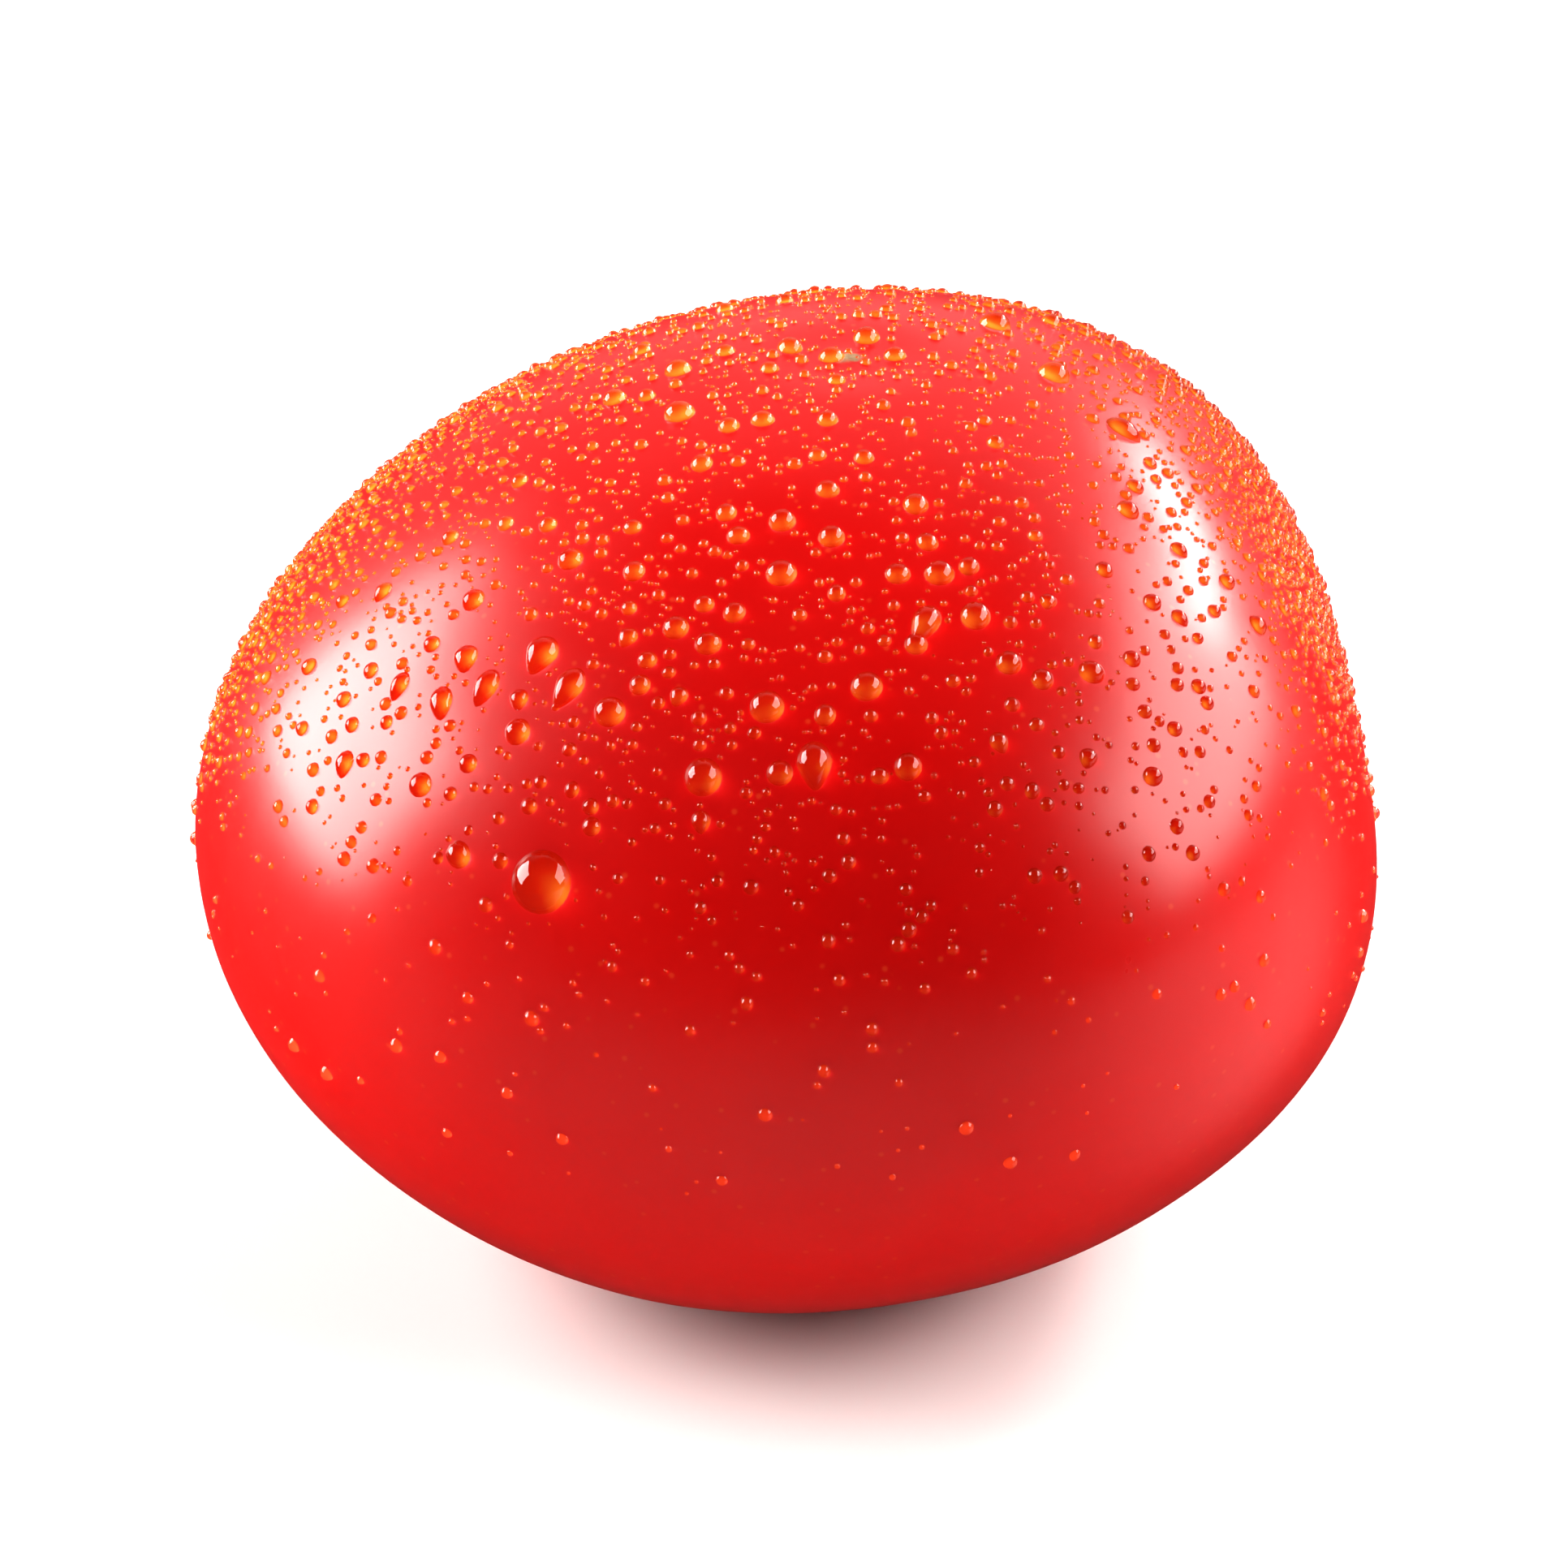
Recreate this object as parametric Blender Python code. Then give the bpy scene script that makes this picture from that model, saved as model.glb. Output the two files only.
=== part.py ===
"""A ripe globe tomato without its calyx, standing on the shoulders around its stem end.

One solid. Metres, +Z up. The origin is the centre of the underside of its bounding box,
on the surface that it stands on. The stem scar faces down and the blossom scar faces up.
"""

import math

import bmesh
import bpy
from mathutils import Vector

# Overall size, measured from the widest level, which is a horizontal plane
WIDTH = 0.0766
CROWN_HEIGHT = 0.0302
BELLY_DEPTH = 0.0295

# How far the blossom end stands to one side of the stem axis
LEAN_X = 0.0036
LEAN_Y = 0.0024

# Swellings around the fruit: how many, how far each stands out, and the first one's azimuth
OVAL_SWELL = 0.0006
OVAL_AZIMUTH = math.radians(65)
TRIANGLE_SWELL = 0.0015
TRIANGLE_AZIMUTH = math.radians(63)
SQUARE_SWELL = 0.0006
SQUARE_AZIMUTH = math.radians(41)
SWELLINGS = (
    (2, OVAL_SWELL, OVAL_AZIMUTH),
    (3, TRIANGLE_SWELL, TRIANGLE_AZIMUTH),
    (4, SQUARE_SWELL, SQUARE_AZIMUTH),
)
# The swellings are strongest above the widest level, turn into their opposite low down,
# and die away towards both ends
SWELL_CROWN_BIAS = 1.8
SWELL_FADE = 2.5

# Stem end: a shallow dimple with soft folds, and a corky round scar at its bottom
DIMPLE_RADIUS = 0.0125
DIMPLE_DEPTH = 0.0030
FOLD_COUNT = 5
FOLD_DEPTH = 0.0003
FOLD_RADIUS = 0.0080
STEM_SCAR_RADIUS = 0.0034
STEM_SCAR_DEPTH = 0.0007

# Blossom end: a slight dent with a low nub in its middle
DENT_RADIUS = 0.0065
DENT_DEPTH = 0.0005
NUB_RADIUS = 0.0016
NUB_HEIGHT = 0.0003

# How far the shoulders are pressed flat where the fruit stands
REST_FLATTENING = 0.0003

# Mesh fineness, and how much closer the rows lie near the two ends than at the widest level
MERIDIANS = 72
ROWS = 46
ROW_CROWDING = 0.6

SKIN_COLOUR = (0.69, 0.012, 0.008, 1.0)
SKIN_ROUGHNESS = 0.24


def clear_scene():
    for obj in list(bpy.data.objects):
        bpy.data.objects.remove(obj, do_unlink=True)


def soft_spot(distance, radius):
    """1 in the middle of a round spot, falling smoothly to 0 at its rim."""
    if distance >= radius:
        return 0.0
    return (1 - (distance / radius) ** 2) ** 2


def swell(polar, azimuth):
    """How far the swellings push the skin outwards here."""
    strength = math.sin(polar) ** SWELL_FADE * (1 + SWELL_CROWN_BIAS * math.cos(polar))
    return strength * sum(
        height * math.cos(count * (azimuth - first)) for count, height, first in SWELLINGS
    )


def stem_end(distance, azimuth):
    """How far the skin is drawn in, upwards, around the stem."""
    dimple = DIMPLE_DEPTH * soft_spot(distance, DIMPLE_RADIUS)
    scar = STEM_SCAR_DEPTH * soft_spot(distance, STEM_SCAR_RADIUS)
    share = min(distance / FOLD_RADIUS, 1.0)
    fold = FOLD_DEPTH * math.sin(math.pi * share) ** 2 * math.cos(FOLD_COUNT * azimuth)
    return dimple + scar + fold


def blossom_end(distance):
    """How far the skin is drawn in, downwards, around the blossom scar."""
    dent = DENT_DEPTH * soft_spot(distance, DENT_RADIUS)
    nub = NUB_HEIGHT * soft_spot(distance, NUB_RADIUS)
    return dent - nub


def skin_point(polar, azimuth):
    """A point of the skin, from the widest level, at these angles from the blossom end and around."""
    distance = WIDTH / 2 * math.sin(polar)
    if polar <= math.pi / 2:
        height = CROWN_HEIGHT * math.cos(polar) - blossom_end(distance)
    else:
        height = BELLY_DEPTH * math.cos(polar) + stem_end(distance, azimuth)
    reach = distance + swell(polar, azimuth)
    lean = ((1 + math.cos(polar)) / 2) ** 2
    return Vector((
        reach * math.cos(azimuth) + LEAN_X * lean,
        reach * math.sin(azimuth) + LEAN_Y * lean,
        height,
    ))


def row_angle(row):
    """The angle from the blossom end of a row, with the rows crowded near both ends."""
    share = row / ROWS
    return math.pi * share - ROW_CROWDING / 2 * math.sin(2 * math.pi * share)


def add_skin(bm):
    """The whole skin: rings of points from the blossom end down, closed by a point at each end."""
    top = bm.verts.new(skin_point(0.0, 0.0))
    bottom = bm.verts.new(skin_point(math.pi, 0.0))
    turns = [2 * math.pi * k / MERIDIANS for k in range(MERIDIANS)]
    rings = [
        [bm.verts.new(skin_point(row_angle(row), turn)) for turn in turns] for row in range(1, ROWS)
    ]
    for k in range(MERIDIANS):
        after = (k + 1) % MERIDIANS
        bm.faces.new((top, rings[0][k], rings[0][after]))
        bm.faces.new((bottom, rings[-1][after], rings[-1][k]))
        for upper, lower in zip(rings, rings[1:]):
            bm.faces.new((upper[k], lower[k], lower[after], upper[after]))


def press_flat(bm):
    """Cuts the shoulders level where the fruit stands, which leaves a flat ring round the dimple."""
    level = min(vert.co.z for vert in bm.verts) + REST_FLATTENING
    cut = bmesh.ops.bisect_plane(
        bm,
        geom=bm.verts[:] + bm.edges[:] + bm.faces[:],
        plane_co=(0, 0, level),
        plane_no=(0, 0, -1),
        clear_outer=True,
    )
    rims = [edge for edge in cut["geom_cut"] if isinstance(edge, bmesh.types.BMEdge)]
    bmesh.ops.bridge_loops(bm, edges=rims)
    return level


def stand_on_origin(bm):
    """Puts the centre of the underside of the bounding box at the origin."""
    low = Vector(min(vert.co[axis] for vert in bm.verts) for axis in range(3))
    high = Vector(max(vert.co[axis] for vert in bm.verts) for axis in range(3))
    middle = (low + high) / 2
    bmesh.ops.translate(bm, verts=bm.verts, vec=(-middle.x, -middle.y, -low.z))


def skin_material():
    material = bpy.data.materials.new("tomato_skin")
    material.use_nodes = True
    shader = material.node_tree.nodes["Principled BSDF"]
    shader.inputs["Base Color"].default_value = SKIN_COLOUR
    shader.inputs["Roughness"].default_value = SKIN_ROUGHNESS
    shader.inputs["Metallic"].default_value = 0.0
    return material


def make_tomato():
    bm = bmesh.new()
    add_skin(bm)
    press_flat(bm)
    stand_on_origin(bm)
    bmesh.ops.recalc_face_normals(bm, faces=bm.faces)
    mesh = bpy.data.meshes.new("tomato")
    bm.to_mesh(mesh)
    bm.free()
    mesh.materials.append(skin_material())
    mesh.shade_smooth()
    tomato = bpy.data.objects.new("tomato", mesh)
    bpy.context.scene.collection.objects.link(tomato)
    return tomato


clear_scene()
make_tomato()
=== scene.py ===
import math
from itertools import product
from random import Random

import bpy
from mathutils import Matrix, Quaternion, Vector, noise


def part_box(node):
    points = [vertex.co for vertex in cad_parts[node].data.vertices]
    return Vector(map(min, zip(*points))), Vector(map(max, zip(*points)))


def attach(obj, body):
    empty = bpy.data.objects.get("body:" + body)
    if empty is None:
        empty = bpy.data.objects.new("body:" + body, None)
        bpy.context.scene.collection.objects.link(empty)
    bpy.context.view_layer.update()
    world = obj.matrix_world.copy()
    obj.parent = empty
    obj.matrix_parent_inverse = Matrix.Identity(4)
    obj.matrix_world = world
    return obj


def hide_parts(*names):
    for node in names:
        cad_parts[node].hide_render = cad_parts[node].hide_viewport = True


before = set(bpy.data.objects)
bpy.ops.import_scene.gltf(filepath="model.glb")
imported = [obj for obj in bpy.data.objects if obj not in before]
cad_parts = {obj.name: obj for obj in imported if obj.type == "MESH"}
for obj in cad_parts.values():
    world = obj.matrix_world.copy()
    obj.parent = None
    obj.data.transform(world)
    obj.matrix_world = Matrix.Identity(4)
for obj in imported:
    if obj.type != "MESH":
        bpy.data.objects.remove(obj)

bl_info = {
    "name": "Wet Tomato",
    "version": (1, 0, 0),
    "blender": (4, 5, 0),
    "location": "View3D > Sidebar > Tomato",
    "description": "Makes a ripe tomato with beads of water on its skin, and a pale studio around it",
    "category": "Add Mesh",
}

FRUIT = "tomato"
LOW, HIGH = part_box(FRUIT)
CENTRE = (LOW + HIGH) / 2
# How far below its top the fruit's blossom end reaches, and how far out from the axis its stem end
CROWN_DEPTH = 0.001
STEM_REACH = 0.004


def end_of_fruit(upward):
    """The middle of the skin near the top of the frame's solid, or of the skin near its stem axis."""
    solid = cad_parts[FRUIT].data
    near = [v.co for v in solid.vertices if (v.co.z > CENTRE.z) == upward]
    if upward:
        top = max(co.z for co in near)
        tips = [co for co in near if co.z > top - CROWN_DEPTH]
    else:
        tips = [co for co in near if co.xy.length < STEM_REACH]
    return sum(tips, Vector()) / len(tips)


def direction(azimuth, elevation):
    """A unit vector. Azimuth runs in degrees from +Y, behind the fruit, towards +X, on its right."""
    turn, rise = math.radians(azimuth), math.radians(elevation)
    return Vector((math.sin(turn) * math.cos(rise), math.cos(turn) * math.cos(rise), math.sin(rise)))


VIEW_AZIMUTH = 184
VIEW_ELEVATION = 27.5
VIEW_DISTANCE = 0.456
TO_VIEWER = direction(VIEW_AZIMUTH, VIEW_ELEVATION)
# The plain colour that the camera sees around the fruit
BACKGROUND = (0.93, 0.93, 0.94, 1.0)


class FruitSettings(bpy.types.PropertyGroup):
    fineness: bpy.props.IntProperty(
        name="Fineness", description="How often each face of the solid is divided", default=2, min=0, max=3
    )
    waviness: bpy.props.FloatProperty(
        name="Waviness", description="How far the skin rises and falls", default=0.00012, unit="LENGTH"
    )
    skin_red: bpy.props.FloatVectorProperty(
        name="Skin red", description="Colour of the shoulders", subtype="COLOR", default=(0.60, 0.0035, 0.002)
    )
    deep_red: bpy.props.FloatVectorProperty(
        name="Deep red", description="Colour of the crown, the ripest part", subtype="COLOR",
        default=(0.45, 0.001, 0.001)
    )
    cork: bpy.props.FloatVectorProperty(
        name="Cork", description="Colour of the scars", subtype="COLOR", default=(0.36, 0.22, 0.10)
    )


class WaterSettings(bpy.types.PropertyGroup):
    seed: bpy.props.IntProperty(name="Seed", description="Sets where the beads lie", default=7)
    large: bpy.props.IntProperty(
        name="Large beads", description="How many on the back, 2 to 3 mm across", default=12
    )
    medium: bpy.props.IntProperty(
        name="Medium beads", description="How many on the back, 1 to 2 mm across", default=170
    )
    small: bpy.props.IntProperty(
        name="Small beads", description="How many, about 0.7 mm across", default=2500
    )
    mist: bpy.props.IntProperty(name="Mist", description="How many, about 0.3 mm across", default=3300)
    # Skin colours under the beads, from dim to spot, are painted light: they stand in for the light that each
    # bead gathers on the skin
    dim_skin: bpy.props.FloatVectorProperty(
        name="Dim skin", description="Skin under a bead, on the side towards the light", subtype="COLOR",
        default=(0.24, 0.002, 0.001)
    )
    lit_skin: bpy.props.FloatVectorProperty(
        name="Lit skin", description="Skin under a bead, halfway to its bright spot", subtype="COLOR",
        default=(0.30, 0.009, 0.002)
    )
    bright_skin: bpy.props.FloatVectorProperty(
        name="Bright skin", description="Skin under a bead, around its bright spot", subtype="COLOR",
        default=(0.38, 0.058, 0.006)
    )
    spot_skin: bpy.props.FloatVectorProperty(
        name="Spot skin", description="Skin where a bead gathers the most light", subtype="COLOR",
        default=(0.46, 0.150, 0.016)
    )
    # Skin colour under beads low on the fruit: painted floor light, brighter to stand in for the light that
    # the floor sends up
    painted_floor_skin: bpy.props.FloatVectorProperty(
        name="Low skin", description="Skin under a bead low on the fruit, lit by the floor", subtype="COLOR",
        default=(0.78, 0.055, 0.018)
    )


class StageSettings(bpy.types.PropertyGroup):
    floor_colour: bpy.props.FloatVectorProperty(
        name="Floor", description="Colour of the floor", subtype="COLOR", default=(0.80, 0.80, 0.80)
    )
    floor_size: bpy.props.FloatProperty(
        name="Floor size", description="Width of the floor", default=8.0, unit="LENGTH"
    )
    lens: bpy.props.FloatProperty(name="Lens", description="Focal length", default=165.0, unit="CAMERA")


class Value:
    """A shader socket that can stand in an expression, which adds its Math nodes."""

    def __init__(self, tree, socket):
        self.tree = tree
        self.socket = socket

    def maths(self, operation, first, second):
        return add_node(self.tree, "ShaderNodeMath", {"operation": operation}, {0: first, 1: second})[0]

    def __add__(self, other):
        return self.maths("ADD", self, other)

    def __sub__(self, other):
        return self.maths("SUBTRACT", self, other)

    def __rsub__(self, other):
        return self.maths("SUBTRACT", other, self)

    def __mul__(self, other):
        return self.maths("MULTIPLY", self, other)

    __radd__ = __add__
    __rmul__ = __mul__

    def clamped(self):
        return add_node(self.tree, "ShaderNodeClamp", {}, {"Value": self})[0]


class Outputs:
    """A node's outputs, by name or number, as Values."""

    def __init__(self, tree, node):
        self.tree = tree
        self.node = node

    def __getitem__(self, key):
        return Value(self.tree, self.node.outputs[key])


def add_node(tree, kind, settings, sockets):
    """A new node with these settings, and then these values or links in its input sockets."""
    node = tree.nodes.new(kind)
    for name, setting in settings.items():
        if name == "stops":
            elements = node.color_ramp.elements
            while len(elements) < len(setting):
                elements.new(0.5)
            for element, (position, colour) in zip(elements, setting):
                element.position = position
                element.color = (*colour, 1.0)
        else:
            setattr(node, name, setting)
    for name, value in sockets.items():
        if isinstance(value, Value):
            tree.links.new(value.socket, node.inputs[name])
        else:
            node.inputs[name].default_value = value
    return Outputs(tree, node)


def for_colour_socket(colour):
    """A link as it is, and a colour with an alpha of 1."""
    return colour if isinstance(colour, Value) else (*colour, 1.0)


def blend_colours(tree, factor, first, second):
    """The first colour where factor is 0 and the second where it is 1."""
    sockets = {0: factor, 6: for_colour_socket(first), 7: for_colour_socket(second)}
    return add_node(tree, "ShaderNodeMix", {"data_type": "RGBA"}, sockets)[2]


def noise_of(tree, place, scale, detail=2.0, roughness=0.5):
    """Noise from 0 to 1, mostly near 0.5. Scale is in lumps per metre."""
    sockets = {"Vector": place, "Scale": scale, "Detail": detail, "Roughness": roughness}
    return add_node(tree, "ShaderNodeTexNoise", {}, sockets)["Fac"]


def smooth_step(tree, value, start, end):
    """0 below start and 1 above end, or the other way round where start is the larger."""
    low, high, to_low, to_high = (start, end, 0.0, 1.0) if start < end else (end, start, 1.0, 0.0)
    sockets = {"Value": value, "From Min": low, "From Max": high, "To Min": to_low, "To Max": to_high}
    return add_node(tree, "ShaderNodeMapRange", {"interpolation_type": "SMOOTHSTEP"}, sockets)[0]


def distance_from(tree, place, point):
    between = add_node(tree, "ShaderNodeVectorMath", {"operation": "SUBTRACT"}, {0: place, 1: point})[0]
    return add_node(tree, "ShaderNodeVectorMath", {"operation": "LENGTH"}, {0: between})["Value"]


def new_material(name):
    """An empty material, its tree and its Object coordinates."""
    material = bpy.data.materials.new(name)
    material.use_nodes = True
    tree = material.node_tree
    tree.nodes.clear()
    return material, tree, add_node(tree, "ShaderNodeTexCoord", {}, {})["Object"]


def finish_material(tree, shader):
    add_node(tree, "ShaderNodeOutputMaterial", {}, {"Surface": shader})


# Patterns in the skin, in lumps per metre
PATCH_SCALE = 38.0
FLECK_SCALE = 620.0
WOBBLE_SCALE = 900.0
GRAIN_SCALE = 2600.0
SHEEN_SCALE = 160.0
PORE_SCALE = 1500.0
# Heights between which the red deepens, and how far it follows height instead of the patches
UNRIPE_HEIGHT, RIPE_HEIGHT = 0.012, 0.045
HEIGHT_SHARE = 0.6
# How strongly the flecks and the halo round the stem scar show, and their colours
FLECK_STRENGTH = 0.10
FLECK_ORANGE = (0.95, 0.25, 0.06)
HALO_STRENGTH = 0.55
HALO_ORANGE = (0.80, 0.20, 0.03)
# Where each mark ends and where it is full, in metres from the middle of its end of the fruit
HALO_RADII = (0.013, 0.004)
STEM_SCAR_RADII = (0.0042, 0.0036)
STEM_CORE_RADII = (0.0018, 0.0012)
BLOSSOM_SCAR_RADII = (0.0010, 0.0005)
# How far their edges wander
WOBBLE_REACH = 0.0022
DARK_CORK = (0.10, 0.05, 0.025)
STEM_GREEN = (0.30, 0.28, 0.11)
CORK_ROUGHNESS = 0.85
PORE_DEPTH = 0.06


def skin_material(settings):
    """Ripe skin: deep patches under a waxy gloss, pale flecks, and cork on the two scars."""
    material, tree, place = new_material("tomato_skin")
    blossom, stem = end_of_fruit(True), end_of_fruit(False)

    patches = smooth_step(tree, noise_of(tree, place, PATCH_SCALE, 3.0), 0.35, 0.7)
    height = add_node(tree, "ShaderNodeSeparateXYZ", {}, {0: place})["Z"]
    raised = smooth_step(tree, height, UNRIPE_HEIGHT, RIPE_HEIGHT)
    ripeness = raised * HEIGHT_SHARE + patches * (1 - HEIGHT_SHARE)
    colour = blend_colours(tree, ripeness, settings.skin_red, settings.deep_red)
    cells = add_node(tree, "ShaderNodeTexVoronoi", {}, {"Vector": place, "Scale": FLECK_SCALE})["Distance"]
    flecks = smooth_step(tree, cells, 0.16, 0.05) * FLECK_STRENGTH
    colour = blend_colours(tree, flecks, colour, FLECK_ORANGE)

    wobble = (noise_of(tree, place, WOBBLE_SCALE, 3.0) - 0.5) * WOBBLE_REACH
    from_stem = distance_from(tree, place, stem) + wobble
    from_blossom = distance_from(tree, place, blossom) + wobble * 0.5
    halo = smooth_step(tree, from_stem, *HALO_RADII) * HALO_STRENGTH
    colour = blend_colours(tree, halo, colour, HALO_ORANGE)
    stem_scar = smooth_step(tree, from_stem, *STEM_SCAR_RADII)
    stem_core = smooth_step(tree, from_stem, *STEM_CORE_RADII)
    blossom_scar = smooth_step(tree, from_blossom, *BLOSSOM_SCAR_RADII)
    scar = (stem_scar + blossom_scar).clamped()
    grain = noise_of(tree, place, GRAIN_SCALE, 4.0, 0.7)
    cork = blend_colours(tree, grain, settings.cork, DARK_CORK)
    cork = blend_colours(tree, stem_core, cork, STEM_GREEN)
    colour = blend_colours(tree, scar, colour, cork)

    sheen = noise_of(tree, place, SHEEN_SCALE, 3.0)
    roughness = (0.25 + sheen * 0.10) * (1 - scar) + scar * CORK_ROUGHNESS
    pores = noise_of(tree, place, PORE_SCALE, 2.0, 0.6)
    relief = pores * (1 - scar) * PORE_DEPTH + grain * scar
    bump = add_node(tree, "ShaderNodeBump", {}, {"Height": relief, "Distance": 0.0001, "Strength": 0.6})
    shader = add_node(
        tree,
        "ShaderNodeBsdfPrincipled",
        {},
        {
            "Base Color": colour,
            "Roughness": roughness,
            "IOR": 1.50,
            "Subsurface Weight": 0.15,
            "Subsurface Radius": (1.0, 0.12, 0.06),
            "Subsurface Scale": 0.0035,
            "Normal": bump[0],
        },
    )
    finish_material(tree, shader[0])
    return material


# A little above real water's 1.33, which makes the highlights on the beads stronger
WATER_IOR = 1.42
# The painted glow under the beads is mottled: the mottle's scale, in lumps per metre, and how far it moves
# the glow up and down
MOTTLE_SCALE = 900.0
MOTTLE_STRENGTH = 0.2


def water_material():
    material, tree, _ = new_material("water")
    shader = add_node(
        tree,
        "ShaderNodeBsdfPrincipled",
        {},
        {"Base Color": (1.0, 1.0, 1.0, 1.0), "Roughness": 0.0, "IOR": WATER_IOR, "Transmission Weight": 1.0},
    )
    finish_material(tree, shader[0])
    return material


def painted_light_skin_material(settings):
    """The matt skin under a bead, with painted light: brighter where the bead would gather light on it, and
    brighter low on the fruit for painted floor light.
    """
    material, tree, place = new_material("skin_under_water_painted_light")
    glow = add_node(tree, "ShaderNodeAttribute", {"attribute_name": "glow"}, {})["Fac"]
    glow = (glow + (noise_of(tree, place, MOTTLE_SCALE, 1.0) - 0.5) * MOTTLE_STRENGTH).clamped()
    stops = (
        (0.0, settings.dim_skin),
        (0.25, settings.lit_skin),
        (0.55, settings.bright_skin),
        (1.0, settings.spot_skin),
    )
    colour = add_node(tree, "ShaderNodeValToRGB", {"stops": stops}, {"Fac": glow})["Color"]
    # How low the bead lies, which sets the share of painted floor light
    low = add_node(tree, "ShaderNodeAttribute", {"attribute_name": "low"}, {})["Fac"]
    colour = blend_colours(tree, low, colour, settings.painted_floor_skin)
    shader = add_node(
        tree,
        "ShaderNodeBsdfPrincipled",
        {},
        {"Base Color": colour, "Roughness": 1.0, "Specular IOR Level": 0.0},
    )
    finish_material(tree, shader[0])
    return material


def deselect_all():
    bpy.ops.object.select_all(action="DESELECT")


def make_active(obj):
    """Selects this object and no other."""
    deselect_all()
    obj.select_set(True)
    bpy.context.view_layer.objects.active = obj


def select_face(obj, number):
    """Selects one face and nothing else, from object mode."""
    make_active(obj)
    bpy.ops.object.mode_set(mode="EDIT")
    bpy.ops.mesh.select_mode(type="FACE")
    bpy.ops.mesh.select_all(action="DESELECT")
    bpy.ops.object.mode_set(mode="OBJECT")
    obj.data.polygons[number].select = True


def apply_modifier(obj, kind, **settings):
    make_active(obj)
    modifier = obj.modifiers.new(kind.title(), kind)
    for name, value in settings.items():
        setattr(modifier, name, value)
    bpy.ops.object.modifier_apply(modifier=modifier.name)


# Corners of the solid that lie closer than this are merged
MERGE_DISTANCE = 1e-6
# Width of the long and the short waves in the skin, and how high the short ones are beside the long
LONG_WAVE = 0.014
SHORT_WAVE = 0.006
SHORT_WAVE_HEIGHT = 0.25


class TOMATO_OT_fruit(bpy.types.Operator):
    """Makes the fruit: a smooth, slightly wavy copy of the frame's solid, with corky scars"""

    bl_idname = "tomato.fruit"
    bl_label = "Fruit"

    def execute(self, context):
        settings = context.scene.tomato_fruit
        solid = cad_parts[FRUIT]
        make_active(solid)
        bpy.ops.object.duplicate()
        fruit = context.view_layer.objects.active
        fruit.name = "fruit"
        fruit.data.name = "fruit"
        fruit.parent = None
        for key in list(fruit.keys()):
            del fruit[key]
        bpy.ops.object.mode_set(mode="EDIT")
        bpy.ops.mesh.select_all(action="SELECT")
        bpy.ops.mesh.customdata_custom_splitnormals_clear()
        bpy.ops.mesh.remove_doubles(threshold=MERGE_DISTANCE)
        bpy.ops.mesh.tris_convert_to_quads()
        bpy.ops.object.mode_set(mode="OBJECT")
        apply_modifier(fruit, "SUBSURF", levels=settings.fineness, render_levels=settings.fineness)
        self.make_wavy(fruit, settings.waviness)
        make_active(fruit)
        bpy.ops.object.shade_smooth()
        fruit.data.materials.clear()
        fruit.data.materials.append(skin_material(settings))
        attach(fruit, "root")
        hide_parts(FRUIT)
        return {"FINISHED"}

    def make_wavy(self, fruit, height):
        """Moves the skin in and out a little, but never below the surface that it stands on."""
        places = []
        for vert in fruit.data.vertices:
            short = SHORT_WAVE_HEIGHT * noise.noise(vert.co / SHORT_WAVE)
            wave = noise.noise(vert.co / LONG_WAVE) + short
            place = vert.co + vert.normal * wave * height
            places += (place.x, place.y, max(place.z, LOW.z))
        fruit.data.vertices.foreach_set("co", places)
        fruit.data.update()


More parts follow.
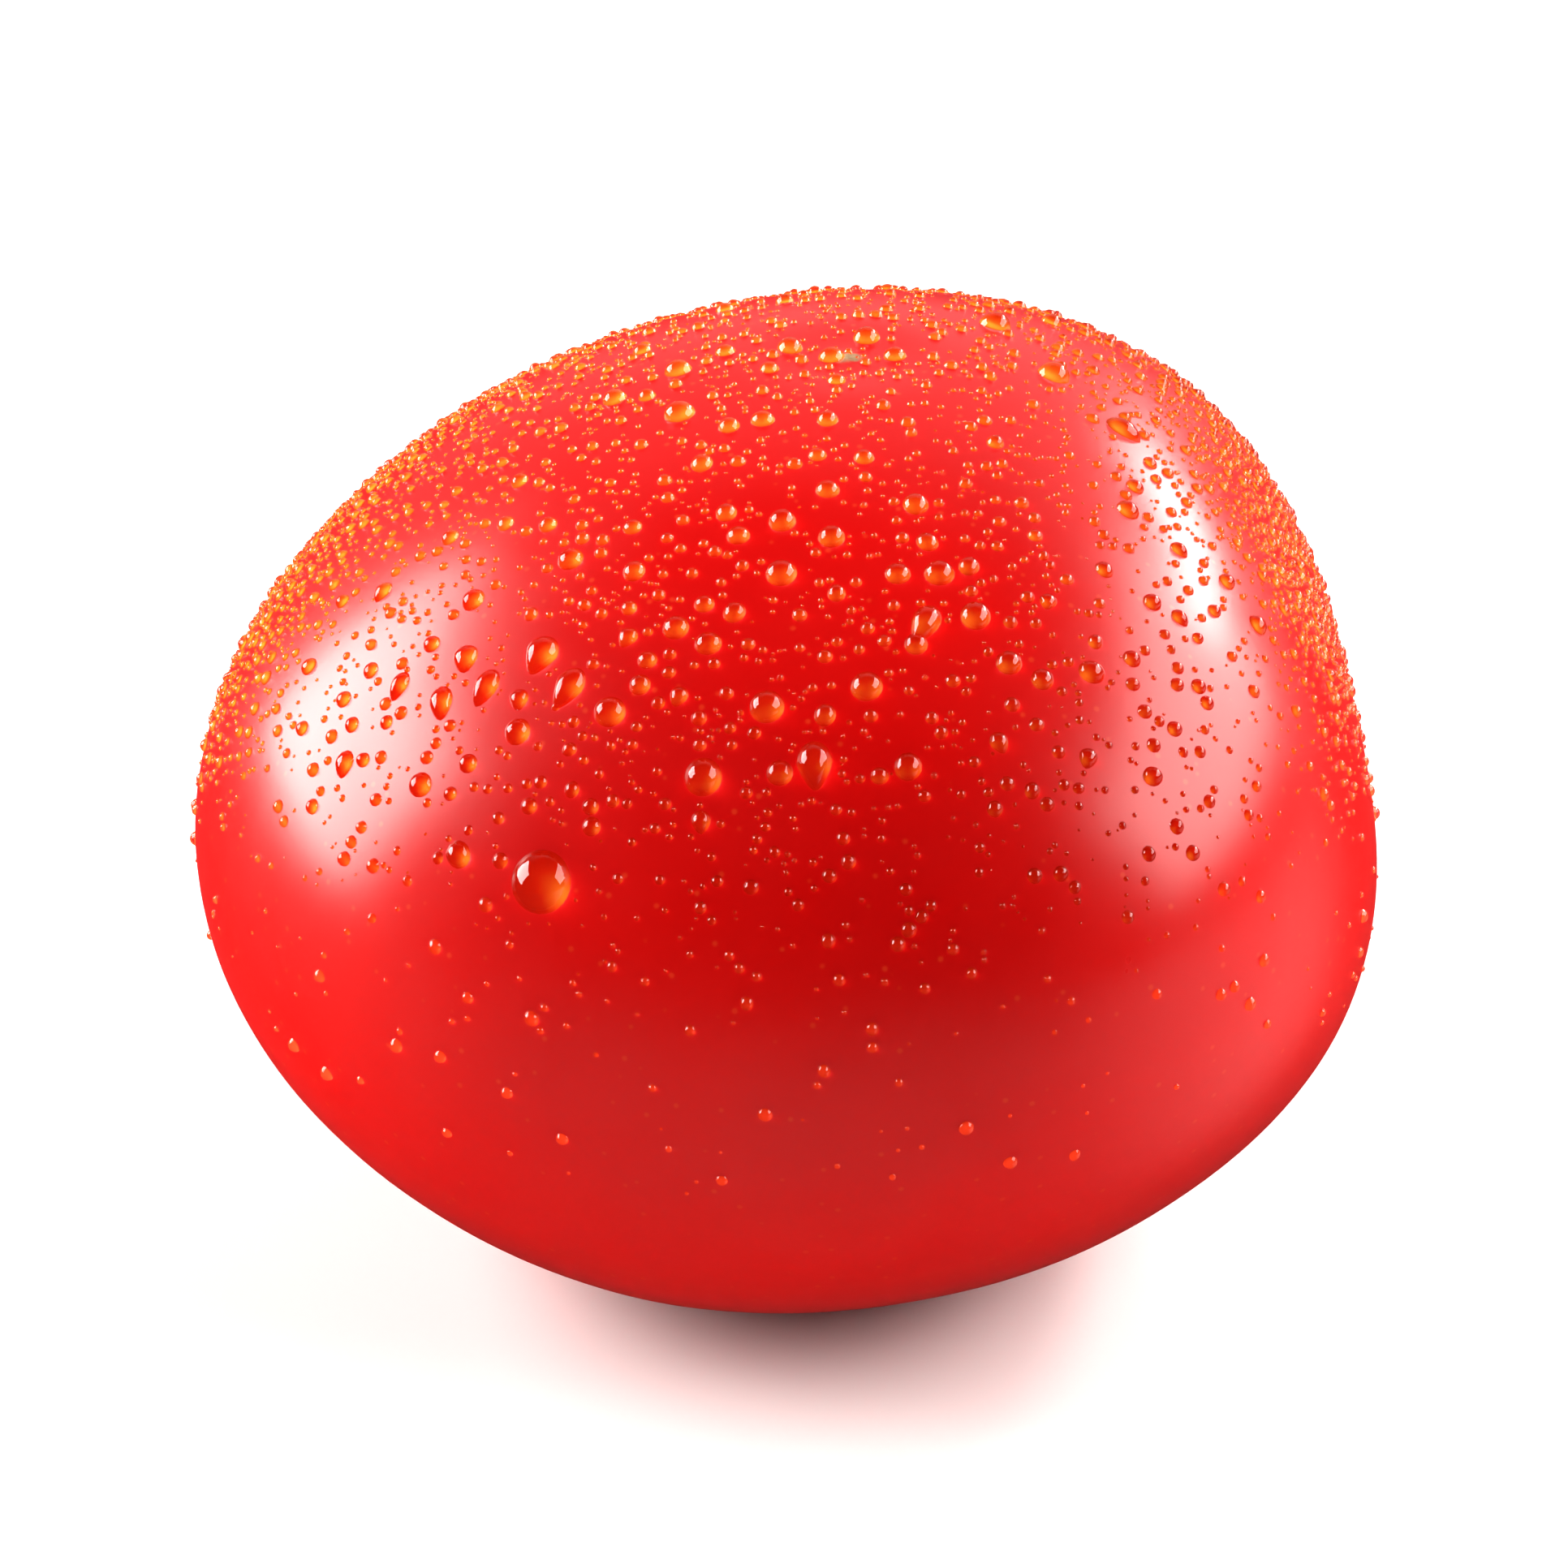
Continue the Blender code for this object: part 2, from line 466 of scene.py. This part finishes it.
# The beads that stand out on the front: degrees round from +Y towards +X, degrees up from the
# middle of the fruit, radius in millimetres, and length over width
FRONT_BEADS = (
    (234.5, 40.2, 0.78, 1), (250.3, 35.2, 0.6, 1.1), (218.9, 37.8, 1, 1.2), (235.2, 34, 0.6, 1),
    (229.1, 34.4, 0.85, 1), (235.4, 28.9, 0.62, 1.5), (228.6, 29.3, 0.82, 1.2),
    (223.9, 32.5, 0.82, 1.35), (213, 35.2, 0.95, 1.2), (218.8, 32.4, 0.6, 1), (217.1, 29.1, 0.85, 1),
    (241.9, 24.7, 0.55, 1), (241, 28.5, 0.55, 1), (251.3, 24.6, 0.6, 1), (238.4, 23.2, 0.5, 1),
    (245.3, 20, 0.5, 1), (236.5, 19.8, 0.68, 1.2), (234.3, 20.9, 0.5, 1), (225.9, 21.1, 0.78, 1),
    (234, 25.1, 0.45, 1), (221.4, 24.6, 0.6, 1), (222, 21.3, 0.45, 1), (212.6, 22.3, 0.5, 1),
    (238, 14.7, 0.5, 1), (218.7, 16.1, 0.85, 1), (209.2, 15.5, 1.9, 1), (208.3, 24.8, 0.5, 1),
    (205.7, 23.5, 0.5, 1), (205.1, 21.6, 0.6, 1), (184.5, 51.8, 1, 1), (173.3, 37.2, 1, 1),
    (186.2, 35.6, 1.05, 1), (193.4, 27.9, 1.15, 1), (180.5, 29.6, 1.15, 1.2), (184.5, 28.6, 0.8, 1),
    (170.2, 28.5, 0.85, 1), (178.9, 34.5, 0.7, 1), (163.3, 43.3, 0.9, 1.3), (158.2, 48.6, 0.9, 1),
    (164.6, 49.8, 0.75, 1), (154.7, 58.4, 0.85, 1), (184.4, 59.3, 0.85, 1), (174.3, 56.3, 0.8, 1),
    (193.7, 57.1, 0.7, 1), (197.7, 60.4, 0.7, 1), (195.3, 42.6, 0.8, 1), (200.8, 44.1, 0.8, 1),
    (192, 46.6, 0.7, 1), (211.5, 50.2, 0.75, 1), (175.3, 48.6, 0.6, 1), (157.2, 52.9, 0.7, 1),
    (197.2, 47.4, 0.6, 1), (203.6, 36.9, 0.7, 1), (203.6, 39.8, 0.6, 1), (207.6, 42.1, 0.6, 1),
    (198, 36.3, 0.6, 1), (165.7, 41, 0.7, 1), (173.4, 27.9, 0.55, 1), (114.7, 47.1, 0.6, 1),
    (121.4, 46, 0.75, 1), (108.7, 45.7, 0.4, 1), (121.1, 39.8, 0.55, 1), (135, 42.3, 0.6, 1),
    (145.9, 41.7, 0.55, 1), (132.8, 37.2, 0.6, 1), (131, 34.7, 0.55, 1), (146.6, 33.5, 0.8, 1),
    (141, 33.3, 0.55, 1), (143.9, 36.1, 0.5, 1), (152.5, 34.3, 0.7, 1), (125.2, 33.3, 0.5, 1),
    (120, 29.6, 0.7, 1), (118.7, 34.4, 0.6, 1), (135.4, 28.5, 0.5, 1), (98.7, 50.7, 0.9, 1.2),
    (130.9, 32.2, 0.4, 1), (135.7, 26.9, 0.45, 1), (241.6, 74.7, 0.95, 1), (10.5, 83.4, 0.85, 1),
    (50.2, 76.1, 0.9, 1), (60.2, 83, 0.85, 1), (161.8, 76.1, 0.7, 1), (196, 77.5, 0.75, 1),
    (211.7, 75.5, 0.7, 1), (288.4, 76.4, 0.85, 1), (119.6, 82.9, 0.6, 1), (211.1, 67.9, 0.75, 1),
    (172.6, 63.6, 0.75, 1), (158.7, 67.7, 0.65, 1), (172.5, 69.8, 0.55, 1), (224.2, 49.3, 0.8, 1),
    (272.2, 68.8, 0.8, 1), (266.6, 72.8, 0.6, 1), (348.5, 62.6, 0.6, 1), (4.2, 63.8, 0.6, 1),
    (316.2, 80.2, 0.65, 1), (282.6, 88.2, 0.6, 1), (310.7, 67.8, 0.6, 1), (168, -4.9, 0.5, 1),
    (163.8, -9.2, 0.45, 1), (157.8, -9.5, 0.4, 1), (145, 15.9, 0.5, 1), (146, 23, 0.65, 1),
    (151.6, 26.2, 0.6, 1), (141.2, 26.1, 0.5, 1), (157.8, 17, 0.5, 1), (139, 10.2, 0.4, 1),
    (139.6, 4.7, 0.4, 1), (152.7, 12.3, 0.4, 1), (173.4, 12.4, 0.45, 1), (178.9, 9.2, 0.4, 1),
    (171.3, 8.4, 0.35, 1), (176.1, 4.8, 0.4, 1), (176.1, 3.1, 0.35, 1), (167.1, 9.5, 0.35, 1),
    (155.3, 36.8, 0.8, 1), (156.4, 42.6, 0.95, 1), (153.2, 48.4, 0.7, 1), (160, 29.5, 0.6, 1),
    (158.3, 24.5, 0.5, 1), (162.4, 23.5, 0.5, 1), (139.7, 49, 0.5, 1), (58.2, 59.3, 1, 1),
    (85, 58.1, 1.1, 1), (53.4, 48.7, 0.7, 1), (76.2, 75.9, 0.7, 1), (125.2, 61.3, 0.6, 1),
    (217, 55.9, 0.6, 1), (251.4, 54.3, 0.6, 1), (249.4, 44.2, 0.6, 1), (242.6, 49.5, 0.6, 1),
    (206.5, 33.4, 0.95, 1), (234.3, 52.1, 0.6, 1), (255.7, 31.2, 0.5, 1), (105, 46.9, 0.5, 1),
    (193.1, 23.5, 0.6, 1), (209.3, 45.5, 0.5, 1),
)
# Smallest and largest radius of each size of bead
LARGE_RADII = (0.00095, 0.0016)
MEDIUM_RADII = (0.00045, 0.00095)
SMALL_RADII = (0.00022, 0.00050)
MIST_RADII = (0.00009, 0.00022)


def ramp(value, start, end):
    """How far value is from start to end, from 0 to 1."""
    return min(max((value - start) / (end - start), 0.0), 1.0)


class Bead:
    """A bead of water to be laid on the skin. Stretch is its length over its width."""

    def __init__(self, place, normal, radius, stretch=1.0):
        self.place = place
        self.normal = normal
        self.radius = radius
        self.stretch = stretch


class Wetting:
    """Finds places for beads, and keeps the random ones clear of all the others."""

    # Beads are filed by the cubes that they lie in, each wider than any two beads with their gap
    CELL = 0.0045
    # How many places are tried for each bead that is asked for
    TRIES = 40
    # How far up the skin faces where water starts to stay on it, and where all of it does
    WET = (0.12, 0.67)
    # Skin turns into a far slope as it faces less and less towards the viewer, and less and less up
    OFF_VIEWER = (0.55, 0.20)
    OFF_TOP = (0.92, 0.62)
    # The share of the water that stays on skin that is not a far slope
    FRONT_SHARE = 0.16
    # The share that stays low down, and how far up the lowest wet skin faces
    LOW_SHARE = 0.02
    LOWEST = -0.25
    # How far down from the middle of the fruit a random place may lie, -1 being straight down
    LOWEST_RISE = -0.9
    # Skin that faces the viewer more than this is the front
    FRONT_FACING = -0.15

    def __init__(self, fruit, seed):
        self.fruit = fruit
        self.random = Random(seed)
        self.cells = {}

    def key(self, place, steps=(0, 0, 0)):
        """The number of the cube at this place, or of the one this many steps away."""
        return tuple(math.floor(c / self.CELL) + step for c, step in zip(place, steps))

    def is_free(self, place, radius, gap):
        """Whether a bead fits here. Gap is the least distance to another, over the sum of their radii."""
        for steps in product((-1, 0, 1), repeat=3):
            for other in self.cells.get(self.key(place, steps), ()):
                if (other.place - place).length < (other.radius + radius) * gap:
                    return False
        return True

    def wetness(self, normal):
        """The share of water that stays on skin that faces this way. The far slopes hold the most."""
        high = ramp(normal.z, *self.WET)
        slope = ramp(normal.dot(TO_VIEWER), *self.OFF_VIEWER) * ramp(normal.z, *self.OFF_TOP)
        stray = self.LOW_SHARE if normal.z > self.LOWEST else 0.0
        share = self.FRONT_SHARE + (1 - self.FRONT_SHARE) * slope
        return max(high * high * (3 - 2 * high) * share, stray)

    def skin_towards(self, way):
        """Where the skin lies in this direction from the middle of the fruit, and how it faces."""
        hit, place, normal, _ = self.fruit.ray_cast(CENTRE + way, -way)
        if not hit:
            raise RuntimeError("no skin in this direction from the middle of the fruit")
        return place, normal

    def add(self, bead):
        """Files a bead, so that later ones keep clear of it."""
        self.cells.setdefault(self.key(bead.place), []).append(bead)
        return bead

    def lay_front(self):
        """The listed beads, in two lists: the large ones and the others."""
        large, medium = [], []
        for azimuth, elevation, millimetres, stretch in FRONT_BEADS:
            place, normal = self.skin_towards(direction(azimuth, elevation))
            radius = millimetres / 1000
            kind = large if radius >= LARGE_RADII[0] else medium
            kind.append(self.add(Bead(place, normal, radius, stretch)))
        return large, medium

    def lay(self, count, radii, gap, bias, listed_front=False):
        """Random places for this many beads, or as many as fit. A higher bias makes more of them small.

        Where the front is listed, none are added to it.
        """
        smallest, largest = radii
        beads = []
        tries = 0
        while len(beads) < count and tries < count * self.TRIES:
            tries += 1
            turn = self.random.uniform(0, 2 * math.pi)
            rise = self.random.uniform(self.LOWEST_RISE, 1)
            flat = math.sqrt(1 - rise * rise)
            way = Vector((flat * math.cos(turn), flat * math.sin(turn), rise))
            size = self.random.random() ** bias
            place, normal = self.skin_towards(way)
            if self.random.random() > self.wetness(normal):
                continue
            if listed_front and normal.dot(TO_VIEWER) > self.FRONT_FACING:
                continue
            radius = smallest + (largest - smallest) * size
            if self.is_free(place, radius, gap):
                beads.append(self.add(Bead(place, normal, radius)))
        return beads


# Segments round a model of each size, rings on its dome, and rings in its base
LARGE_FINENESS = (28, 8, 3)
MEDIUM_FINENESS = (14, 4, 1)
SMALL_FINENESS = (10, 3, 0)
MIST_FINENESS = (8, 2, 0)
# The angle at which a bead meets the skin
CONTACT_ANGLE = math.radians(78)
# Corners of a model that lie closer than this are merged, and faces that meet at a sharper angle
# than this are not smoothed into each other
MODEL_MERGE_DISTANCE = 0.02
SHARP_EDGE = math.radians(50)
# The way that the beads sag, and how level the skin is where they sag any way
RUN_OFF = Vector((0.0, -0.35, -1.0)).normalized()
LEVEL = 0.15
# How a bead may differ from its radius in width, length and height, and how far it turns aside
WIDTH_RANGE = (0.92, 1.06)
LENGTH_RANGE = (0.95, 1.08)
HEIGHT_RANGE = (0.85, 1.10)
SPIN_RANGE = (-0.5, 0.5)
# The stretch above which a bead is a long one, and the share of the others that are too
LONG_STRETCH = 1.15
LONG_SHARE = 0.15
# How far a bead is lifted off the skin, and how far clear of it a fitted base lies
BEAD_LIFT = 0.000006
BASE_CLEARANCE = 0.000012
# The ways to the left light, the right light and the white behind, and how strong each is, for the light
# painted under the beads
LIGHTS = ((direction(279, 27), 1.0), (direction(78, 33), 0.9), (direction(0, 20), 1.0))
# How squarely a bead faces a light where that light starts to show in its painted glow, and where all of it
# does
LIT_FROM, LIT_FULLY = -0.05, 0.80
# How far the skin faces up where a bead stops being high on the fruit, and where it is low, with full painted
# floor light on its base
HIGH_NORMAL, LOW_NORMAL = 0.5, -0.1
# The painted glow that every bead's base has, and the share of each light's painted glow that spreads over
# the whole base
AMBIENT_GLOW = 0.08
SPREAD_GLOW = 0.12
# How far out a light's painted spot lies, as a share of the bead's radius, and how wide the spot is
SPOT_REACH = 0.80
SPOT_WIDTH = 0.40


def model_bead(name, materials, fineness, tail=0.0, sag=0.0):
    """One bead with a base of radius 1 on a level plane, its downhill side towards -Y.

    The tail is how far that side is drawn out, and the sag how far the dome leans over it.
    """
    segments, rings, base_rings = fineness
    deselect_all()
    ball = 1 / math.sin(CONTACT_ANGLE)
    bpy.ops.mesh.primitive_uv_sphere_add(
        segments=segments,
        ring_count=round(rings * math.pi / CONTACT_ANGLE),
        radius=ball,
        location=(0, 0, -(ball * math.cos(CONTACT_ANGLE))),
    )
    bead = bpy.context.view_layer.objects.active
    bead.name = name
    bpy.ops.object.transform_apply()
    bpy.ops.object.mode_set(mode="EDIT")
    bpy.ops.mesh.select_all(action="SELECT")
    bpy.ops.mesh.bisect(plane_co=(0, 0, 0), plane_no=(0, 0, 1), use_fill=True, clear_inner=True)
    bpy.ops.mesh.select_all(action="SELECT")
    bpy.ops.mesh.remove_doubles(threshold=MODEL_MERGE_DISTANCE)
    bpy.ops.object.mode_set(mode="OBJECT")
    mesh = bead.data
    for material in materials:
        mesh.materials.append(material)
    base = [face.index for face in mesh.polygons if face.normal.z < -0.99]
    if len(base) != 1:
        raise RuntimeError(f"{name} has {len(base)} faces in its base instead of 1")
    # The base takes the skin with painted light under the bead
    mesh.polygons[base[0]].material_index = 1
    select_face(bead, base[0])
    bpy.ops.object.mode_set(mode="EDIT")
    for _ in range(base_rings):
        bpy.ops.mesh.inset(thickness=1 / (base_rings + 1))
    bpy.ops.mesh.poke()
    bpy.ops.object.mode_set(mode="OBJECT")
    for vert in mesh.vertices:
        x, y, z = vert.co
        downhill = max(-y, 0.0)
        vert.co.x = x * (1 - tail * downhill)
        vert.co.y = y * (1 + tail * downhill) - sag * z
    make_active(bead)
    bpy.ops.object.shade_smooth_by_angle(angle=SHARP_EDGE)
    return bead


def bead_matrix(bead, random):
    """From the model's own axes to the bead's place, with its downhill side down."""
    downhill = RUN_OFF - bead.normal * bead.normal.dot(RUN_OFF)
    if downhill.length < LEVEL:
        downhill = Vector((random.uniform(-1, 1), random.uniform(-1, 1), 0))
        downhill -= bead.normal * downhill.dot(bead.normal)
    downhill.normalize()
    across = (-downhill).cross(bead.normal)
    turn = Matrix((across, -downhill, bead.normal)).transposed().to_4x4()
    spin = Matrix.Rotation(random.uniform(*SPIN_RANGE), 4, "Z")
    size = (
        bead.radius * random.uniform(*WIDTH_RANGE),
        bead.radius * random.uniform(*LENGTH_RANGE) * bead.stretch,
        bead.radius * random.uniform(*HEIGHT_RANGE),
    )
    move = Matrix.Translation(bead.place + bead.normal * BEAD_LIFT)
    return move @ turn @ spin @ Matrix.Diagonal((*size, 1.0))


def paint_light_on_base(mesh, base, bead):
    """Writes the painted light on a bead's base: each point's glow, and how low on the fruit it lies.

    Each light is painted as a bright spot on the side of the base that is away from it.
    """
    spots = []
    for way, strength in LIGHTS:
        facing = bead.normal.dot(way)
        spot = (bead.normal * facing - way) * SPOT_REACH
        spots.append((spot, strength * ramp(facing, LIT_FROM, LIT_FULLY)))
    glow = mesh.attributes.new("glow", "FLOAT", "POINT")
    # How low the bead lies, which sets the share of painted floor light
    low = mesh.attributes.new("low", "FLOAT", "POINT")
    painted_floor_share = ramp(bead.normal.z, HIGH_NORMAL, LOW_NORMAL)
    for index in base:
        low.data[index].value = painted_floor_share
        point = (mesh.vertices[index].co - bead.place) / bead.radius
        gathered = AMBIENT_GLOW
        for spot, strength in spots:
            focus = math.exp(-(point - spot).length_squared / (2 * SPOT_WIDTH**2))
            gathered += strength * (SPREAD_GLOW + (1 - SPREAD_GLOW) * focus)
        glow.data[index].value = min(gathered, 1.0)


def fit_base(mesh, base, fruit):
    """Moves a bead's base onto the skin, and just clear of it."""
    for index in base:
        found, place, normal, _ = fruit.closest_point_on_mesh(mesh.vertices[index].co)
        if not found:
            raise RuntimeError("no skin under a bead")
        mesh.vertices[index].co = place + normal * BASE_CLEARANCE


def lay_beads(name, models, beads, random, fruit, fitted):
    """Copies the models, round and long, to the beads' places, and joins the copies into one piece."""
    copies = []
    for bead in beads:
        is_long = bead.stretch > LONG_STRETCH or random.random() < LONG_SHARE
        mesh = models[-1 if is_long else 0].data.copy()
        base = {v for face in mesh.polygons if face.material_index == 1 for v in face.vertices}
        mesh.transform(bead_matrix(bead, random))
        if fitted:
            fit_base(mesh, base, fruit)
        paint_light_on_base(mesh, base, bead)
        copy = bpy.data.objects.new(name, mesh)
        bpy.context.scene.collection.objects.link(copy)
        copies.append(copy)
    deselect_all()
    for copy in copies:
        copy.select_set(True)
    piece = copies[0]
    bpy.context.view_layer.objects.active = piece
    bpy.ops.object.join()
    piece.name = name
    piece.data.name = name
    piece.visible_shadow = False
    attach(piece, "root")


class TOMATO_OT_water(bpy.types.Operator):
    """Lays beads of water on the upper part of the skin, from large drops to a fine mist"""

    bl_idname = "tomato.water"
    bl_label = "Water"

    def execute(self, context):
        settings = context.scene.tomato_water
        fruit = bpy.data.objects["fruit"]
        wetting = Wetting(fruit, settings.seed)
        random = Random(settings.seed + 1)
        materials = (water_material(), painted_light_skin_material(settings))
        large = [
            model_bead("large_round", materials, LARGE_FINENESS, sag=0.08),
            model_bead("large_long", materials, LARGE_FINENESS, tail=0.30, sag=0.12),
        ]
        medium = [
            model_bead("medium_round", materials, MEDIUM_FINENESS, sag=0.06),
            model_bead("medium_long", materials, MEDIUM_FINENESS, tail=0.25, sag=0.10),
        ]
        small = [model_bead("small_round", materials, SMALL_FINENESS, sag=0.05)]
        mist = [model_bead("mist_round", materials, MIST_FINENESS)]
        drops, beads = wetting.lay_front()
        drops += wetting.lay(settings.large, LARGE_RADII, gap=1.25, bias=2.0, listed_front=True)
        beads += wetting.lay(settings.medium, MEDIUM_RADII, gap=1.2, bias=1.5, listed_front=True)
        small_beads = wetting.lay(settings.small, SMALL_RADII, gap=1.12, bias=1.6)
        mist_beads = wetting.lay(settings.mist, MIST_RADII, gap=1.08, bias=1.0)
        lay_beads("water_drops", large, drops, random, fruit, fitted=True)
        lay_beads("water_beads", medium, beads, random, fruit, fitted=True)
        lay_beads("water_small_beads", small, small_beads, random, fruit, fitted=False)
        lay_beads("water_mist", mist, mist_beads, random, fruit, fitted=False)
        for model in large + medium + small + mist:
            bpy.data.objects.remove(model)
        return {"FINISHED"}


# Name, azimuth, elevation, distance, width, height, radiance and roll of each lamp
SOFTBOXES = (
    ("right_softbox", 92, 34, 0.90, 1.20, 0.60, 7.5, 0),
    ("right_strip", 46, 24, 0.86, 0.46, 0.12, 18.0, -31),
    ("left_softbox", 287, 23, 0.90, 0.80, 0.62, 14.5, 0),
)
LAMP_COLOUR = (1.0, 0.97, 0.94)
# Faint patches in the floor, in lumps per metre
FLOOR_PATCH_SCALE = 3.0
FLOOR_PATCH_STRENGTH = 0.02
FLOOR_PATCH_COLOUR = (0.8, 0.8, 0.82)
# How far out the floor starts to run into the background, and where it has
FLOOR_FADE = (0.35, 0.9)
# Light from the room: from all round, from the white behind, from the ground, and more on its right
ROOM_COLOUR = (1.0, 0.97, 0.96, 1.0)
ROOM_LIGHT = 0.01
BEHIND_LIGHT = 0.6
GROUND_LIGHT = 0.04
RIGHT_GROUND_LIGHT = 1.1


def add_softbox(name, azimuth, elevation, distance, width, height, radiance, roll):
    """A rectangular lamp that faces the fruit and sends out this radiance. Angles are in degrees."""
    lamp = bpy.data.lights.new(name, "AREA")
    lamp.shape = "RECTANGLE"
    lamp.size = width
    lamp.size_y = height
    lamp.energy = radiance * math.pi * width * height
    lamp.color = LAMP_COLOUR
    obj = bpy.data.objects.new(name, lamp)
    bpy.context.scene.collection.objects.link(obj)
    way = direction(azimuth, elevation)
    obj.location = CENTRE + way * distance
    turn = Quaternion((0, 0, 1), math.radians(roll))
    obj.rotation_euler = (way.to_track_quat("Z", "Y") @ turn).to_euler()
    obj.visible_camera = False


def floor_material(settings):
    """A pale floor that runs into the background far from the fruit, so that no edge shows behind it."""
    material, tree, place = new_material("studio_floor")
    patches = noise_of(tree, place, FLOOR_PATCH_SCALE) * FLOOR_PATCH_STRENGTH
    colour = blend_colours(tree, patches, settings.floor_colour, FLOOR_PATCH_COLOUR)
    floor = add_node(tree, "ShaderNodeBsdfPrincipled", {}, {"Base Color": colour, "Roughness": 0.6})
    backdrop = add_node(tree, "ShaderNodeEmission", {}, {"Color": BACKGROUND})
    far = smooth_step(tree, distance_from(tree, place, (0.0, 0.0, LOW.z)), *FLOOR_FADE)
    is_shown = add_node(tree, "ShaderNodeLightPath", {}, {})["Is Camera Ray"]
    both = add_node(tree, "ShaderNodeMixShader", {}, {0: far * is_shown, 1: floor[0], 2: backdrop[0]})
    finish_material(tree, both[0])
    return material


class TOMATO_OT_stage(bpy.types.Operator):
    """Makes a pale floor, the studio lamps and the camera"""

    bl_idname = "tomato.stage"
    bl_label = "Stage"

    def execute(self, context):
        settings = context.scene.tomato_stage
        deselect_all()
        bpy.ops.mesh.primitive_plane_add(size=settings.floor_size, location=(0, 0, LOW.z))
        floor = context.view_layer.objects.active
        floor.name = "studio_floor"
        floor.data.materials.append(floor_material(settings))
        floor.visible_glossy = False
        self.light_world(context.scene)
        for softbox in SOFTBOXES:
            add_softbox(*softbox)
        self.add_camera(context.scene, settings)
        context.scene.view_settings.view_transform = "Standard"
        context.scene.view_settings.look = "Medium High Contrast"
        return {"FINISHED"}

    def light_world(self, scene):
        """Light from behind the fruit and from the ground, and a plain pale background for the camera."""
        world = bpy.data.worlds.new("studio_world")
        world.use_nodes = True
        scene.world = world
        tree = world.node_tree
        tree.nodes.clear()
        way = add_node(tree, "ShaderNodeTexCoord", {}, {})["Generated"]
        parts = add_node(tree, "ShaderNodeSeparateXYZ", {}, {0: way})
        # How much of each light comes from this way, by its X, Y and Z
        behind = smooth_step(tree, parts["Y"], 0.2, 0.7) * smooth_step(tree, parts["Z"], 0.95, 0.75)
        behind = behind * smooth_step(tree, parts["X"], -0.9, 0.2)
        below = smooth_step(tree, parts["Z"], 0.06, -0.10)
        right = smooth_step(tree, parts["X"], 0.3, 0.95) * smooth_step(tree, parts["Y"], 0.7, 0.1)
        ground = right * RIGHT_GROUND_LIGHT + GROUND_LIGHT
        light = ROOM_LIGHT + behind * (1 - below) * BEHIND_LIGHT + below * ground
        lighting = add_node(tree, "ShaderNodeBackground", {}, {"Color": ROOM_COLOUR, "Strength": light})
        shown = add_node(tree, "ShaderNodeBackground", {}, {"Color": BACKGROUND})
        is_shown = add_node(tree, "ShaderNodeLightPath", {}, {})["Is Camera Ray"]
        both = add_node(tree, "ShaderNodeMixShader", {}, {0: is_shown, 1: lighting[0], 2: shown[0]})
        add_node(tree, "ShaderNodeOutputWorld", {}, {"Surface": both[0]})

    def add_camera(self, scene, settings):
        """Makes the camera, which looks down on the fruit's front from slightly to its left."""
        camera = bpy.data.cameras.new("camera")
        camera.lens = settings.lens
        camera.clip_start = 0.01
        obj = bpy.data.objects.new("camera", camera)
        scene.collection.objects.link(obj)
        obj.location = CENTRE + TO_VIEWER * VIEW_DISTANCE
        obj.rotation_euler = TO_VIEWER.to_track_quat("Z", "Y").to_euler()
        scene.camera = obj


class TOMATO_PT_panel(bpy.types.Panel):
    """Lists the sizes and colours, with a button for each group of them"""

    bl_label = "Tomato"
    bl_idname = "TOMATO_PT_panel"
    bl_space_type = "VIEW_3D"
    bl_region_type = "UI"
    bl_category = "Tomato"

    def draw(self, context):
        for operator, settings in (
            (TOMATO_OT_fruit, context.scene.tomato_fruit),
            (TOMATO_OT_water, context.scene.tomato_water),
            (TOMATO_OT_stage, context.scene.tomato_stage),
        ):
            box = self.layout.box()
            for name in settings.bl_rna.properties.keys():
                if name not in ("rna_type", "name"):
                    box.prop(settings, name)
            box.operator(operator.bl_idname)


CLASSES = (
    FruitSettings,
    WaterSettings,
    StageSettings,
    TOMATO_OT_fruit,
    TOMATO_OT_water,
    TOMATO_OT_stage,
    TOMATO_PT_panel,
)


def register():
    for cls in CLASSES:
        bpy.utils.register_class(cls)
    bpy.types.Scene.tomato_fruit = bpy.props.PointerProperty(type=FruitSettings)
    bpy.types.Scene.tomato_water = bpy.props.PointerProperty(type=WaterSettings)
    bpy.types.Scene.tomato_stage = bpy.props.PointerProperty(type=StageSettings)


def unregister():
    del bpy.types.Scene.tomato_stage
    del bpy.types.Scene.tomato_water
    del bpy.types.Scene.tomato_fruit
    for cls in reversed(CLASSES):
        bpy.utils.unregister_class(cls)


def main():
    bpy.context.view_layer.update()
    register()
    bpy.ops.tomato.fruit()
    bpy.ops.tomato.water()
    bpy.ops.tomato.stage()


if __name__ == "__main__":
    main()
